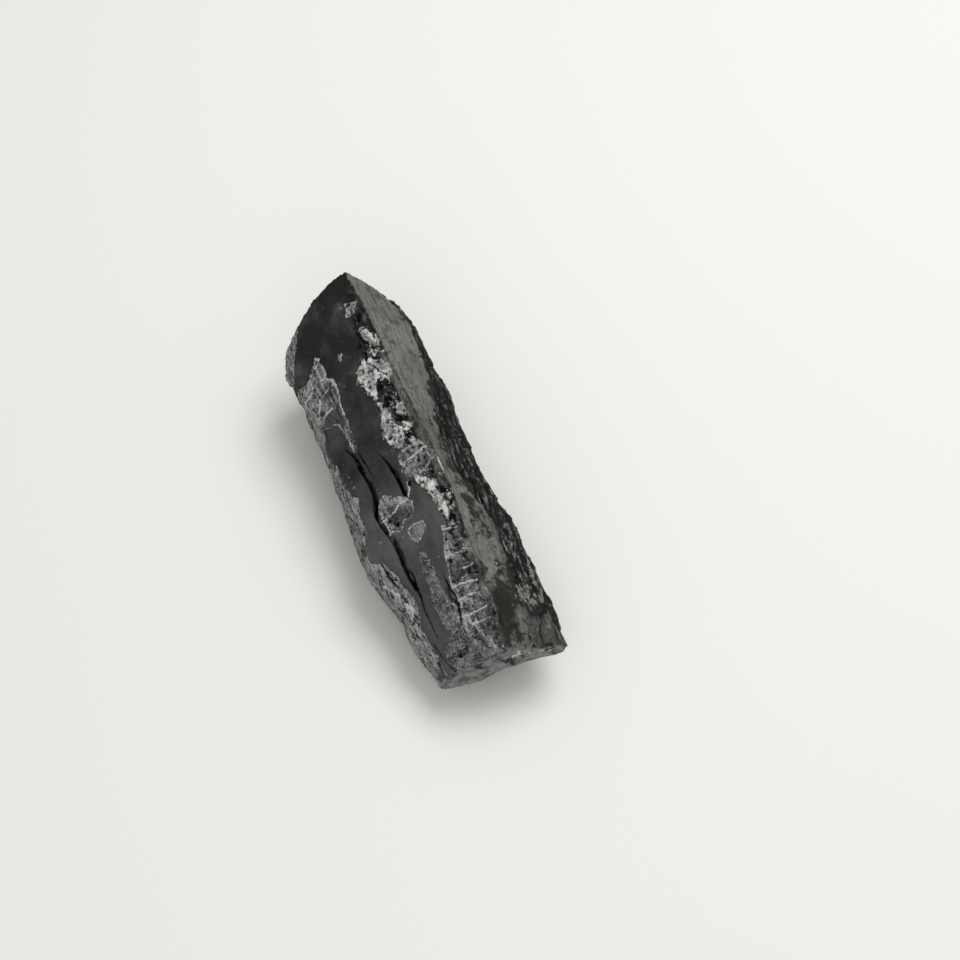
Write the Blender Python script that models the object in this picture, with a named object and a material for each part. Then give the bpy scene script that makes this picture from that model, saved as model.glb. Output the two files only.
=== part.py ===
"""A lump of hardwood charcoal: one split billet, charred right through and broken off at both ends.

X runs across the lump, Y along its grain with the taller end at +Y, Z up from the surface it lies on.
"""
import math

import bmesh
import bpy
from mathutils import Matrix, Vector, geometry, noise

MM = 0.001

# Arrises between the faces, from the near end to the far end: along, across, height in millimetres
RIDGE = (
    (-82, -1.4, 28), (-77, -0.6, 32.4), (-69, 0.7, 35.2), (-41.5, 1.7, 39.8), (-16, 3.7, 43.6),
    (10, 2.3, 47.5), (45, 0.9, 52.8), (66, -0.5, 56), (80.5, -1.6, 57.5),
)
SHOULDER = (
    (-83, 9.5, 25.5), (-77, 10.6, 28.2), (-60, 13, 29.5), (-46, 13.6, 30.5), (-33, 14, 32), (-20, 13, 34),
    (-5, 9.2, 37), (10, 9.8, 38.5), (36, 15.5, 39.5), (60, 16.6, 41), (74, 11, 44),
)
RIGHT_EDGE = (
    (-83.2, 23.6, 20), (-69, 24.9, 21), (-47, 23.7, 23), (-24, 22.5, 24.5), (-13, 20.4, 25.2),
    (12, 20.8, 27), (37, 21.5, 28.6), (59, 20.6, 30), (69, 19.2, 30.5),
)
RIGHT_FOOT = (
    (-83.6, 14.5, 15.5), (-72, 16, 7.5), (-52, 16, 3), (-25, 15, 1.8),
    (10, 14, 1.6), (40, 14, 2.6), (56, 13.5, 5), (66, 13, 9),
)
KEEL = (
    (-82, -2, 13.5), (-70, -2, 5.5), (-50, -3, 1.0), (-22, -4, -0.7),
    (20, -4, -0.9), (45, -4, 0.8), (58, -4, 4), (68, -4, 8.5),
)
LEFT_FOOT = (
    (-79.5, -18.5, 11.5), (-68, -20.5, 5.5), (-50, -21.5, 2.5), (-25, -24.5, 1.9),
    (10, -24, 1.5), (40, -22, 2.4), (58, -21, 4.5), (69, -20, 9),
)
LEFT_LOWER = (
    (-77.3, -25.6, 12), (-63, -29.2, 12.5), (-49, -30.3, 13.5), (-38, -32.6, 14.5), (-28, -34.8, 15.5),
    (-8, -34.9, 17), (8, -33.4, 18), (37, -32, 19), (59, -31.4, 22), (65, -32.8, 23), (73, -31.6, 25),
)
LEFT_EDGE = (
    (-77.5, -24.5, 17.5), (-63, -27.6, 20), (-45, -29.5, 23), (-25, -34, 26), (-8, -31, 27.5),
    (8, -31.2, 28.5), (26, -30.8, 30), (46, -32.5, 31), (62, -31.6, 32.5), (74.5, -26.5, 35.5),
)

# Each face: its two arrises, quads across it, bulge, depth of its grain, its waves and its chips
LEFT_FACE = (LEFT_EDGE, RIDGE, 22, 1.2, 0.15, 0.5, 0.15)
RIGHT_WALL = (RIGHT_EDGE, RIGHT_FOOT, 11, 1.5, 0.6, 0.9, 0.5)
LEFT_WALL = (LEFT_FOOT, LEFT_LOWER, 8, 1.2, 0.6, 0.8, 0.6)
FACES = (
    (RIDGE, SHOULDER, 8, 0.8, 0.35, 0.4, 0.1),
    (SHOULDER, RIGHT_EDGE, 8, 1.0, 1.1, 0.6, 0.9),
    RIGHT_WALL,
    (RIGHT_FOOT, KEEL, 6, 0.0, 0.4, 0.8, 0.3),
    (KEEL, LEFT_FOOT, 6, 0.0, 0.4, 0.8, 0.3),
    LEFT_WALL,
    (LEFT_LOWER, LEFT_EDGE, 7, 0.8, 0.6, 0.5, 0.6),
    LEFT_FACE,
)
STATIONS = 64
TOP_SIDE = 0.2

# The left face swells out at the far end: by how much, and from which share of its length
FAR_SWELL = 2.6
FAR_SWELL_START = 0.9

# Relief of the wood: furrows and waves, across and along in millimetres, and small flats
FURROW_SIZE = (4.2, 30)
FURROW_LEVEL = 0.4
FURROW_SEED = 1.0
WAVE_SIZE = (14, 34)
WAVE_GAIN = 1.6
WAVE_SEED = 2.0
SIDE_CHIP_SIZE = 6.5
SIDE_CHIP_STRETCH = 2.2
CHIP_LEAN = 1.4
TILT_DRAW = 5.7
LEVEL_DRAW = 9.3
CALM_RINGS = (-2, 4)

# The middle of the lump, which tells outward from inward: across, height
HEART = (-5, 22)

# The chipped strip along the left of the ridge: width, depth and size of the chips in millimetres
CHIP_WIDTH = 9.0
CHIP_DEPTH = 1.3
CHIP_SIZE = 4.4
CHIP_STRETCH = 1.2
CHIP_MEAN = 0.65
CHIP_START = (-1.5, 0.5)
CHIP_EDGE = 0.7
CHIP_WIDENING = 0.5
CHIP_WIDENING_SPAN = (-30, -70)
CHIP_FAR_SPAN = (82, 68)

# The layer that has flaked off the left shoulder: along, across of its middle line, and half width
FLAKE_LINE = ((-76, -26, 4), (-46, -30, 6), (-30, -33, 5), (10, -36, 4), (44, -29, 7), (58, -26, 3))
FLAKE_DEPTH = 0.8
FLAKE_RIGHT = -16
FLAKE_LOW = 10
FLAKE_RAGGED = 2.2
FLAKE_WAVE = (6, 9)
FLAKE_SEED = 3.0
FLAKE_EDGE = (-1.0, 0.6)

# Broken ends: how far the middle stands out, and how rough the break is
NEAR_END = (1.2, 1.2)
FAR_END = (2.5, 1.7)
END_CHIP_SIZE = 12.0
END_SPACING = 3.6
END_SWELL_SPAN = 14
END_ROUGH_SPAN = 5

# Cracks along the grain: face, depth, and (along, share of the way over the face, width) of each turn
CRACKS = (
    (LEFT_FACE, 9.0, (
        (19, 0.18, 0.3), (14, 0.2, 0.9), (8, 0.24, 1.4), (2, 0.265, 1.7), (-3, 0.265, 1.8),
        (-8, 0.2, 1.5), (-12, 0.2, 1.5), (-19, 0.27, 1.8), (-24, 0.31, 2.0), (-29, 0.31, 1.8),
        (-35, 0.285, 1.6), (-41, 0.27, 1.3), (-47, 0.26, 0.9), (-56, 0.23, 0.3),
    )),
    (LEFT_FACE, 6.0, ((9, 0.49, 0.3), (2, 0.52, 1.2), (-4, 0.545, 1.7), (-9, 0.535, 1.4), (-13, 0.55, 0.3))),
    (LEFT_FACE, 6.0, ((-44, 0.6, 0.3), (-51, 0.58, 1.1), (-57, 0.58, 1.5), (-60, 0.59, 1.2), (-65, 0.54, 0.3))),
    (RIGHT_WALL, 5.0, ((46, 0.3, 0.3), (34, 0.36, 1.2), (20, 0.34, 1.6), (6, 0.42, 1.3), (-8, 0.44, 0.3))),
    (RIGHT_WALL, 4.0, ((-22, 0.62, 0.3), (-34, 0.56, 1.2), (-46, 0.58, 1.0), (-56, 0.5, 0.3))),
    (LEFT_WALL, 5.0, ((38, 0.5, 0.3), (26, 0.56, 1.3), (10, 0.5, 1.6), (-6, 0.58, 1.2), (-18, 0.56, 0.3))),
)

# Checks in the far end, spreading from the ridge: (across, height, width) of each turn
CHECKS = (
    ((-2, 47, 0.3), (-6, 39, 1.1), (-9, 31, 1.5), (-14, 22, 1.1), (-16, 16, 0.3)),
    ((5, 38, 0.3), (6, 30, 1.1), (8, 23, 1.3), (8, 16, 0.3)),
)
CHECK_DEPTH = 6.0
FAR_END_LEVEL = 67.8
FAR_END_SLOPE = 0.25

# The wedge of a crack: widths of its floor and its open top, depths of its lip and its two tips
CRACK_FLOOR = 0.35
CRACK_MOUTH = 1.5
CRACK_LIP = 0.5
CRACK_TIP = 0.45
CRACK_CLEARANCE = 5.0

# Charred wood: dark grey, dull
CHAR_COLOUR = (0.048, 0.048, 0.046, 1.0)
CHAR_ROUGHNESS = 0.85


def clear_scene():
    """Start from an empty scene."""
    for item in list(bpy.data.objects):
        bpy.data.objects.remove(item, do_unlink=True)
    for group in (bpy.data.meshes, bpy.data.materials):
        for item in list(group):
            group.remove(item)


def curve_value(points, along, part):
    """Value of one coordinate of an arris at a place along it, smooth through its points."""
    last = len(points) - 1
    index = 0
    while index < last - 1 and along > points[index + 1][0]:
        index += 1
    slopes = []
    for knot in (index, index + 1):
        before, after = points[max(knot - 1, 0)], points[min(knot + 1, last)]
        slopes.append((after[part] - before[part]) / (after[0] - before[0]))
    start, end = points[index], points[index + 1]
    span = end[0] - start[0]
    share = (along - start[0]) / span
    square, cube = share * share, share ** 3
    return (
        (2 * cube - 3 * square + 1) * start[part] + (cube - 2 * square + share) * span * slopes[0]
        + (3 * square - 2 * cube) * end[part] + (cube - square) * span * slopes[1]
    )


def arris_point(points, share):
    """Point of an arris at a share of its own length."""
    along = points[0][0] + share * (points[-1][0] - points[0][0])
    return Vector((curve_value(points, along, 1), along, curve_value(points, along, 2)))


def wave(place, across, along, seed):
    """Smooth noise, drawn out along the grain."""
    return noise.noise(Vector((place.x / across + seed, place.y / along, place.z / across - seed)))


def furrow(place, across, along, seed):
    """Sharp-crested noise, drawn out along the grain as split wood is."""
    return 1 - 2.6 * abs(wave(place, across, along, seed))


def chips(place, size, stretch):
    """Small flats of a brittle break, each tilted its own way."""
    scaled = Vector((place.x, place.y / stretch, place.z)) / size
    spot = noise.voronoi(scaled)[1][0]
    tilt = noise.cell_vector(spot * TILT_DRAW) - Vector((0.5, 0.5, 0.5))
    return noise.cell(spot * LEVEL_DRAW) - 0.5 + CHIP_LEAN * tilt.dot(scaled - spot)


def smooth_step(low, high, value):
    """Zero below low, one above high, an even ramp between them."""
    share = min(max((value - low) / (high - low), 0.0), 1.0)
    return share * share * (3 - 2 * share)


def face_point(face, share, part):
    """Point of a face at a share of its length and a part of the way over it, and the way out."""
    low, high = arris_point(face[0], share), arris_point(face[1], share)
    edge = high - low
    out = Vector((-edge.z, 0.0, edge.x)).normalized()
    return low.lerp(high, part) + out * face[3] * 4 * part * (1 - part), out


def base_loops():
    """Cross-sections of the lump before any relief, with the relief weights of each column."""
    loops = []
    weights = []
    for station in range(STATIONS + 1):
        share = station / STATIONS
        loop = []
        for face in FACES:
            quads, depths = face[2], face[4:]
            swell = FAR_SWELL * smooth_step(FAR_SWELL_START, 1.0, share) if face is LEFT_FACE else 0.0
            for column in range(quads):
                part = column / quads
                hump = 4 * part * (1 - part)
                loop.append(face_point(face, share, part)[0] + Vector((0, swell * hump, 0)))
                if station == 0:
                    weights.append(depths)
        loops.append(loop)
    return loops, [
        [0.25 * before + 0.5 * here + 0.25 * after for before, here, after in zip(*near)]
        for near in zip(weights[-1:] + weights[:-1], weights, weights[1:] + weights[:1])
    ]


def chip_relief(place):
    """Depth of the chips broken out beside the ridge."""
    left = curve_value(RIDGE, place.y, 1) - place.x
    if left < CHIP_START[0]:
        return 0.0
    widening = 1 + CHIP_WIDENING * smooth_step(*CHIP_WIDENING_SPAN, place.y)
    strip = smooth_step(*CHIP_START, left) * (1 - smooth_step(CHIP_EDGE, 1.0, left / (CHIP_WIDTH * widening)))
    fade = smooth_step(*CHIP_FAR_SPAN, place.y)
    return strip * fade * CHIP_DEPTH * (CHIP_MEAN + chips(place, CHIP_SIZE, CHIP_STRETCH))


def flake_relief(place):
    """Depth of the flaked layer on the left shoulder, with a broken edge."""
    if place.x > FLAKE_RIGHT or not FLAKE_LINE[0][0] < place.y < FLAKE_LINE[-1][0]:
        return 0.0
    middle = curve_value(FLAKE_LINE, place.y, 1)
    half = curve_value(FLAKE_LINE, place.y, 2) + FLAKE_RAGGED * wave(place, *FLAKE_WAVE, FLAKE_SEED)
    return FLAKE_DEPTH * (1 - smooth_step(*FLAKE_EDGE, abs(place.x - middle) - half))


def relieved(loops, weights):
    """Push every vertex along its face normal by the relief of the wood there."""
    count = len(weights)
    out = []
    for row, loop in enumerate(loops):
        before, after = loops[max(row - 1, 0)], loops[min(row + 1, STATIONS)]
        calm = smooth_step(*CALM_RINGS, min(row, STATIONS - row))
        ring = []
        for column, place in enumerate(loop):
            around = loop[(column + 1) % count] - loop[column - 1]
            normal = around.cross(after[column] - before[column]).normalized()
            if normal.dot(place - Vector((HEART[0], place.y, HEART[1]))) < 0:
                normal = -normal
            grain, waves, chipping = weights[column]
            depth = grain * (furrow(place, *FURROW_SIZE, FURROW_SEED) - FURROW_LEVEL)
            depth += waves * WAVE_GAIN * wave(place, *WAVE_SIZE, WAVE_SEED)
            depth += chipping * chips(place, SIDE_CHIP_SIZE, SIDE_CHIP_STRETCH)
            depth -= chip_relief(place) if normal.z > TOP_SIDE else 0.0
            depth -= flake_relief(place) if normal.x < TOP_SIDE and place.z > FLAKE_LOW else 0.0
            ring.append(place + normal * depth * calm)
        out.append(ring)
    return out


def end_points(outline):
    """Evenly spaced places inside the outline of an end, with how far in from its rim each one lies."""
    low = Vector((min(spot.x for spot in outline), min(spot.y for spot in outline)))
    high = Vector((max(spot.x for spot in outline), max(spot.y for spot in outline)))
    rise = END_SPACING * math.sqrt(0.75)
    found = []
    for row in range(int((high.y - low.y) / rise)):
        shift = 0.5 * (row % 2)
        for column in range(int((high.x - low.x) / END_SPACING)):
            spot = low + Vector(((column + shift) * END_SPACING, (row + 0.5) * rise))
            crossings = 0
            for start, end in zip(outline, outline[1:] + outline[:1]):
                if (start.y > spot.y) != (end.y > spot.y):
                    reach = start.x + (spot.y - start.y) / (end.y - start.y) * (end.x - start.x)
                    crossings += spot.x < reach
            inset = min((spot - rim).length for rim in outline)
            if crossings % 2 and inset > 0.5 * END_SPACING:
                found.append((spot, inset))
    return found


def end_cap(mesh, ring, stand_out, roughness, side):
    """Close one end with an even net of triangles, rough as broken charcoal."""
    outline = [Vector((vertex.co.x, vertex.co.z)) for vertex in ring]
    vertices = list(ring)
    for spot, inset in end_points(outline):
        near = [1 / (spot - rim).length_squared for rim in outline]
        level = sum(weight * vertex.co.y for weight, vertex in zip(near, ring)) / sum(near)
        swell = stand_out * smooth_step(0, END_SWELL_SPAN, inset)
        rough = roughness * smooth_step(0, END_ROUGH_SPAN, inset)
        rough *= chips(Vector((spot.x, level, spot.y)), END_CHIP_SIZE, 1.0)
        vertices.append(mesh.verts.new((spot.x, level + side * (swell + rough), spot.y)))
    flat = [Vector((vertex.co.x, vertex.co.z)) for vertex in vertices]
    net = geometry.delaunay_2d_cdt(flat, [], [list(range(len(ring)))], 1, 1e-5)
    for corners in net[2]:
        mesh.faces.new([vertices[net[3][corner][0]] for corner in corners])


def build_body(material):
    """The lump itself, cracks not yet cut."""
    loops = relieved(*base_loops())
    mesh = bmesh.new()
    rings = []
    for loop in loops:
        rings.append([mesh.verts.new((place.x, place.y, max(place.z, 0.0))) for place in loop])
    for near, far in zip(rings, rings[1:]):
        for index in range(len(near)):
            after = (index + 1) % len(near)
            mesh.faces.new((near[index], near[after], far[after], far[index]))
    end_cap(mesh, rings[0], *NEAR_END, -1)
    end_cap(mesh, rings[-1], *FAR_END, 1)
    bmesh.ops.triangulate(mesh, faces=mesh.faces[:])
    bmesh.ops.recalc_face_normals(mesh, faces=mesh.faces[:])
    return finished_object("charcoal_lump", mesh, material)


def crack_rows(face, depth, path):
    """Place, way out, way across, width and depth of each turn of a crack in a face."""
    rows = []
    for along, part, width in path:
        first = face[0][0][0] + part * (face[1][0][0] - face[0][0][0])
        last = face[0][-1][0] + part * (face[1][-1][0] - face[0][-1][0])
        place, out = face_point(face, (along - first) / (last - first), part)
        rows.append((place, out, out.cross(Vector((0, 1, 0))), width, depth))
    return rows


def check_rows(path):
    """The same for a check in the far end."""
    course = Vector((path[-1][0] - path[0][0], 0, path[-1][1] - path[0][1])).normalized()
    out = Vector((0, 1, 0))
    level = Vector((0, FAR_END_LEVEL, 0))
    slope = Vector((0, FAR_END_SLOPE, 1))
    return [
        (level + slope * height + Vector((across, 0, 0)), out, out.cross(course), width, CHECK_DEPTH)
        for across, height, width in path
    ]


def build_crack(name, turns):
    """A thin wedge that follows one crack, shallower at its two ends."""
    mesh = bmesh.new()
    rows = []
    for index, (place, out, across, width, depth) in enumerate(turns):
        deep = depth * (CRACK_TIP if index in (0, len(turns) - 1) else 1.0)
        row = []
        for rise, half in (
            (CRACK_CLEARANCE, width * CRACK_MOUTH / 2), (-CRACK_LIP, width / 2), (-deep, width * CRACK_FLOOR / 2),
        ):
            for side in (-1, 1):
                row.append(mesh.verts.new(place + out * rise + across * side * half))
        rows.append(row)
    outline = (0, 2, 4, 5, 3, 1)
    for one, two in zip(rows, rows[1:]):
        for start, end in zip(outline, outline[1:] + outline[:1]):
            mesh.faces.new((one[start], one[end], two[end], two[start]))
    for row in (rows[0], rows[-1]):
        mesh.faces.new([row[index] for index in outline])
    bmesh.ops.triangulate(mesh, faces=mesh.faces[:])
    bmesh.ops.recalc_face_normals(mesh, faces=mesh.faces[:])
    cutter = finished_object(name, mesh, None)
    cutter.hide_render = True
    cutter.display_type = "WIRE"
    return cutter


def finished_object(name, mesh, material):
    """Object in metres from a mesh in millimetres."""
    bmesh.ops.scale(mesh, vec=(MM, MM, MM), verts=mesh.verts[:])
    data = bpy.data.meshes.new(name)
    mesh.to_mesh(data)
    mesh.free()
    if material is not None:
        data.materials.append(material)
    item = bpy.data.objects.new(name, data)
    bpy.context.scene.collection.objects.link(item)
    return item


def char_material():
    """Dull dark grey of charred wood."""
    material = bpy.data.materials.new("charcoal")
    material.use_nodes = True
    shader = material.node_tree.nodes["Principled BSDF"]
    shader.inputs["Base Color"].default_value = CHAR_COLOUR
    shader.inputs["Roughness"].default_value = CHAR_ROUGHNESS
    return material


def centre(items, lump):
    """Move everything so that the middle of the lump's box is over the origin."""
    across = [vertex.co.x for vertex in lump.data.vertices]
    along = [vertex.co.y for vertex in lump.data.vertices]
    middle = Vector((min(across) + max(across), min(along) + max(along), 0)) / 2
    for item in items:
        item.data.transform(Matrix.Translation(-middle))


def main():
    """Build the lump and cut its cracks."""
    clear_scene()
    lump = build_body(char_material())
    courses = [crack_rows(*crack) for crack in CRACKS] + [check_rows(path) for path in CHECKS]
    cutters = [build_crack("cut_crack_%d" % number, turns) for number, turns in enumerate(courses, 1)]
    centre([lump] + cutters, lump)
    for number, cutter in enumerate(cutters, 1):
        cut = lump.modifiers.new("crack_%d" % number, "BOOLEAN")
        cut.operation = "DIFFERENCE"
        cut.solver = "EXACT"
        cut.object = cutter


main()
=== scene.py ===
"""A lump of hardwood charcoal, dressed over its CAD solid: split faces, flaked skin, ash and splinters."""
import math

import bmesh
import bpy
import numpy as np
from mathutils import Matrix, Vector


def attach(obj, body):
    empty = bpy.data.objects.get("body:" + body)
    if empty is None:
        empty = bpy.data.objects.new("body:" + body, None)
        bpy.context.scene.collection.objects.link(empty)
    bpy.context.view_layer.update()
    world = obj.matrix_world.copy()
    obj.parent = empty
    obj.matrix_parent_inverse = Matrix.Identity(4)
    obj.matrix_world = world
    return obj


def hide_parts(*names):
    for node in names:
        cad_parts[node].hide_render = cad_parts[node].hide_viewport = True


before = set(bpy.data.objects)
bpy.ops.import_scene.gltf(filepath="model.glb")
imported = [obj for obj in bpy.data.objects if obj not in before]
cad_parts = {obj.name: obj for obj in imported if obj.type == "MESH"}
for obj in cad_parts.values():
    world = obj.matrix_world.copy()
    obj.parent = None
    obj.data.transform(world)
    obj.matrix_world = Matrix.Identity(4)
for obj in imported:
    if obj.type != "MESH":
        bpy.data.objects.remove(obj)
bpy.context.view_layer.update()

bl_info = {
    "name": "Charcoal Lump",
    "version": (1, 0, 0),
    "blender": (4, 5, 0),
    "location": "3D Viewport > Sidebar > Charcoal",
    "description": "Dresses a lump of charcoal with split grain, flaked skin, ash and splinters",
    "category": "Object",
}

NODE = "charcoal_lump"
ROOT = "root"
MM = 0.001
FAR_AWAY = 1e9
MERGE_DISTANCE = 1e-6
BODY_TRIANGLES = 194000

# The billet's own measures are in millimetres with the ridge near X 0. The frame's origin lies here in them
FRAME_ORIGIN = np.array((-5.144, -1.244, 0.0))

# Lines along the top, from the near end to the far end: along, across
RIDGE_LINE = (
    (-84, -1.6), (-65, 1.1), (-41, 1.7), (-16, 3.7), (10, 2.3), (45, 0.9), (66, -0.5), (82, -1.6),
)
SHOULDER_LINE = (
    (-84, 9.5), (-60, 13), (-46, 13.6), (-33, 14), (-20, 13), (-5, 9.2), (10, 9.8), (36, 15.5), (60, 16.6),
    (76, 9),
)
BAND_LINE = (
    (-84, -3), (-66, -13), (-60, -12), (-52, -11), (-46, -7), (-40, -8), (-34, -6), (-27, -3), (-18, -4),
    (-13, -5), (-7, -9), (0, -10), (6, -8), (11, -12), (17, -12), (22, -10), (29, -9), (36, -11), (43, -11),
    (48, -6), (56, -6), (63, -7), (70, -6), (74, -2),
)

# Outlines on the top, as turns of (along, across)
# Thin films of ash on bare char
FILMS = (
    (
        (58, -23), (54, -22), (49, -22), (46, -20), (42, -20), (34, -22), (29, -21), (22, -21), (15, -22),
        (18, -23), (24, -23.5), (29, -24), (31, -26), (32, -29), (39, -40), (52, -40), (53, -27),
    ),
    (
        (40, -40), (39, -32), (32, -30), (26, -31), (17, -31), (8, -30), (1, -30), (-1, -28), (-5, -29),
        (-10, -30), (-15, -30), (-20, -33), (-28, -33), (-30, -40),
    ),
    (
        (-27, -33), (-29, -29), (-32, -28), (-37, -26), (-42, -25), (-48, -23), (-53, -24), (-57, -25),
        (-64, -24), (-72, -23), (-80, -23), (-84, -40), (-30, -40),
    ),
    (
        (-6, -21), (-6, -18.5), (-9, -15.5), (-11, -12.5), (-14, -11.5), (-17.5, -12), (-19, -14),
        (-19, -16), (-22, -18), (-22, -21), (-17, -22.5), (-11, -23),
    ),
    ((5, -9), (6.5, -6), (5.5, -3), (2.5, 0.5), (1.3, -4), (1.3, -9.3)),
    ((0.3, -9), (0.3, -5), (0.3, 0), (-3, 1), (-4.5, -2), (-6.5, -5), (-6, -7.5), (-2, -10.2)),
    ((69, -6), (65, -7.2), (64.5, -4.5), (67, -2)), ((-28.5, -5), (-29.5, -1), (-39.8, -0.5), (-38.5, -7)),
    ((-41, -8), (-42, -0.5), (-50.5, 0), (-49.5, -9.5)),
    ((75, -24), (71, -26.5), (66, -29), (59, -32), (57, -40), (78, -40)),
)
# Thick white ash
WHITES = (
    (
        (45.5, -8), (44, -5), (42.5, -2.5), (39, 0.5), (35, 0), (33.5, -3), (35.5, -5), (34, -7), (30, -8),
        (28, -8), (29, -9.3), (33, -10.8), (38, -12), (42, -11.5),
    ),
    (
        (26.5, -9), (26, -7), (20, -6), (15, -6), (12, -3.5), (9, -4.5), (7, -7), (8, -9), (10, -10.6),
        (15, -11.8), (18, -11.2), (22, -9.4),
    ),
    ((56, -5.2), (54.5, -3), (51, -0.4), (47.5, 0.4), (48.5, -3.2), (51.5, -4.6)),
    ((8.5, -4), (7, -1), (2, 1), (4, -3.5)), ((16, -3), (13.5, -0.4), (11, -3)),
    ((24.5, -3), (21, -0.8), (18, -2), (20.5, -4.4)), ((-9, -5.8), (-10, -1), (-13, -0.6), (-14.8, -3.6)),
    (
        (-5, -6.6), (-9, -3), (-14, -1.8), (-20, -0.6), (-26, -0.2), (-27, -2.2), (-20, -3.6), (-14, -4.4),
        (-8, -7),
    ),
    ((53.4, -15.1), (52, -14.9), (50.6, -15.1), (52, -15.3)), ((-19, -23), (-20.6, -21.4), (-22, -22.6)),
)
GREEN_FILM = (
    (-23, -16.5), (-21.5, -13.5), (-23, -10.5), (-25.5, -10.3), (-28.5, -13), (-29.3, -14.6),
    (-26.5, -16.6),
)
# Films that stay smooth and pale
VEILS = FILMS[4:6]
# Skin covered with grey specks
SPECKLED = (
    (
        (-32.5, -16), (-33.5, -14), (-38, -13), (-43, -13), (-50, -13), (-56, -12), (-63, -12), (-67, -14),
        (-63, -17), (-54, -18), (-46, -17), (-39, -17),
    ),
    (
        (-55, -9), (-60, -12), (-66, -16), (-70, -20), (-76, -21.5), (-86, -22), (-86, 12), (-74, 12),
        (-72, 3), (-64, 0), (-55, 1),
    ),
)
OLIVE = ((-56, 0), (-60, 6), (-65, 8), (-71, 6), (-77, 1), (-73, -3), (-64, -2))
BLOTCH = ((-42, 16), (-45, 19), (-53, 18), (-59, 14), (-58, 9), (-50, 12))
SMOOTH_FACET = (
    (-10, 3), (-12, 7), (-20, 10.5), (-34, 11), (-43, 12.5), (-52, 12), (-60, 6), (-61, 1), (-51, 1.6),
    (-41, 1.4), (-30, 2.6), (-20, 3.4),
)

# White lines, each a run of (along, across)
LINES = (
    ((1, -9.4), (2, 1)), ((-30, -4.6), (-31, -0.4)), ((-39.4, -7.6), (-41, -0.6)),
    ((-51, -10), (-52.5, -1)), ((-56, -12), (-58, -1)), ((-62, -12), (-64, -2)), ((-66.5, -8), (-67.5, -2)),
    ((-47, -4), (-46.6, 0)), ((-12, -12), (-12, -16), (-14, -18), (-15, -23)),
    ((-12, -12), (-10, -10.4), (-6.5, -10)), ((58, -23), (56.5, -22), (55, -25)),
    ((54, -22), (49, -22), (44, -20), (39, -20), (36, -21), (31, -21)),
    ((44, -20), (45, -22.5), (43, -25.6)), ((49, -22), (50, -26), (47, -30), (46, -33)),
    ((37, -24), (36, -28)), ((43, -27), (37, -29.4)), ((57, -5.2), (56, -3)), ((46.2, -4.6), (47, 0.6)),
    ((46, -2), (44.6, 0.2)), ((-55, -28), (-50, -25), (-44, -27), (-36, -31)),
)
# Holes, sunk and painted black as shade: along, across, radius
HOLES = (
    (25.5, -6, 1.9), (17.5, -3.8, 1.6), (9, -3.4, 1.5), (32.6, -6, 1.6), (35.5, -1.4, 1.2), (46, -6.4, 1.5),
    (51, -7, 1.2), (-7, -0.6, 1.2), (-15.5, 0.4, 1.7), (-21, 1.6, 1.2), (-27.5, -0.6, 1.8),
    (-7.4, -9.6, 1.1), (-73.4, -15.4, 1.2), (-73.7, -13.4, 1.1), (61, -4, 1.6), (-18.5, -19, 1.4),
    (-16, -20.6, 1.0), (-80.5, 7, 1.0), (-81, 10, 0.9),
)
# White spots on the near end: across, height, radius
END_WHITES = ((2.8, 26.4, 1.3), (7.4, 25.0, 0.8), (13.5, 24.2, 0.8), (17.5, 23.2, 0.9))
# Darker smudges: along, across, radius
SMUDGES = (
    (60, 17, 3.5), (50, 18, 3.5), (38, 17, 3.5), (27, 15, 4), (14, 12, 4), (4, 10, 4), (-6, 9, 4),
    (-13, 11, 4), (-54, 14, 6), (-66, 3, 6), (-72, 0, 6), (-60, 7, 5), (-28, 9, 3), (-35, 9.5, 3),
    (-20, 8, 3), (-18, -18, 5), (33, -25, 4), (42, -23, 3), (-34, -3, 3), (-45, -4, 3), (-80, -12, 3),
    (-78, -22, 4), (-82, 1, 2.5), (-83, 22, 4), (-83, 16, 3), (-48, 1.4, 2.6), (-54, 1.2, 3),
    (-66, -0.6, 3), (-71, -1, 3), (-77, 5, 3.5), (-55, 13, 3.5), (-68, 24, 3.5), (-74, 24, 3.5),
    (-80, 24, 3.5),
)
# Black patches of the torn face: along, across, radius
BLACKS = (
    (60, 20, 5), (46, 22, 6), (30, 20, 6), (14, 18, 6), (2, 16, 5), (-9, 14, 4), (-18, 18, 4.5),
    (-25, 22, 4), (-36, 21, 3), (-43, 19, 2.5), (-50, 17, 3), (-56, 22, 3), (-72, 13, 3), (-77, 10, 2),
    (-65, 24, 3),
)
# Cracks along the grain, each a run of (along, across, width)
CRACKS = (
    (
        (19, -25.4, 0.3), (14, -23.6, 0.9), (5.5, -22.2, 1.3), (-1, -21.9, 1.6), (-6, -22.3, 1.5),
        (-10.5, -24.2, 1.3), (-18.7, -23.7, 1.3), (-25, -21.6, 1.6), (-33.2, -21.8, 1.2), (-40.6, -21, 0.9),
        (-47.8, -21.1, 0.7), (-54.3, -21.5, 0.45), (-64, -20.8, 0.2),
    ),
    ((9, -15.2, 0.3), (5, -14, 0.7), (-1.9, -12.4, 1.3), (-7.7, -12.2, 1.2), (-12, -12, 0.3)),
    ((-45, -11.2, 0.3), (-50, -10.9, 0.9), (-55.2, -10.6, 1.3), (-60.5, -10.9, 1.0), (-65, -11.8, 0.3)),
    ((-29, -29.6, 0.3), (-35.5, -28.4, 0.8), (-41, -26.6, 0.3)),
    ((16, -22, 0.3), (9.2, -21.1, 0.6), (3, -20.3, 0.2)), ((43, -7, 0.3), (39, -4.6, 0.6), (36, -3, 0.2)),
    ((-64, -23, 0.1), (-72, -21.4, 0.25), (-79, -19, 0.15)),
)
# Share of a crack's width that is open on each side of its line
CRACK_SHARE = 0.36

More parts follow.
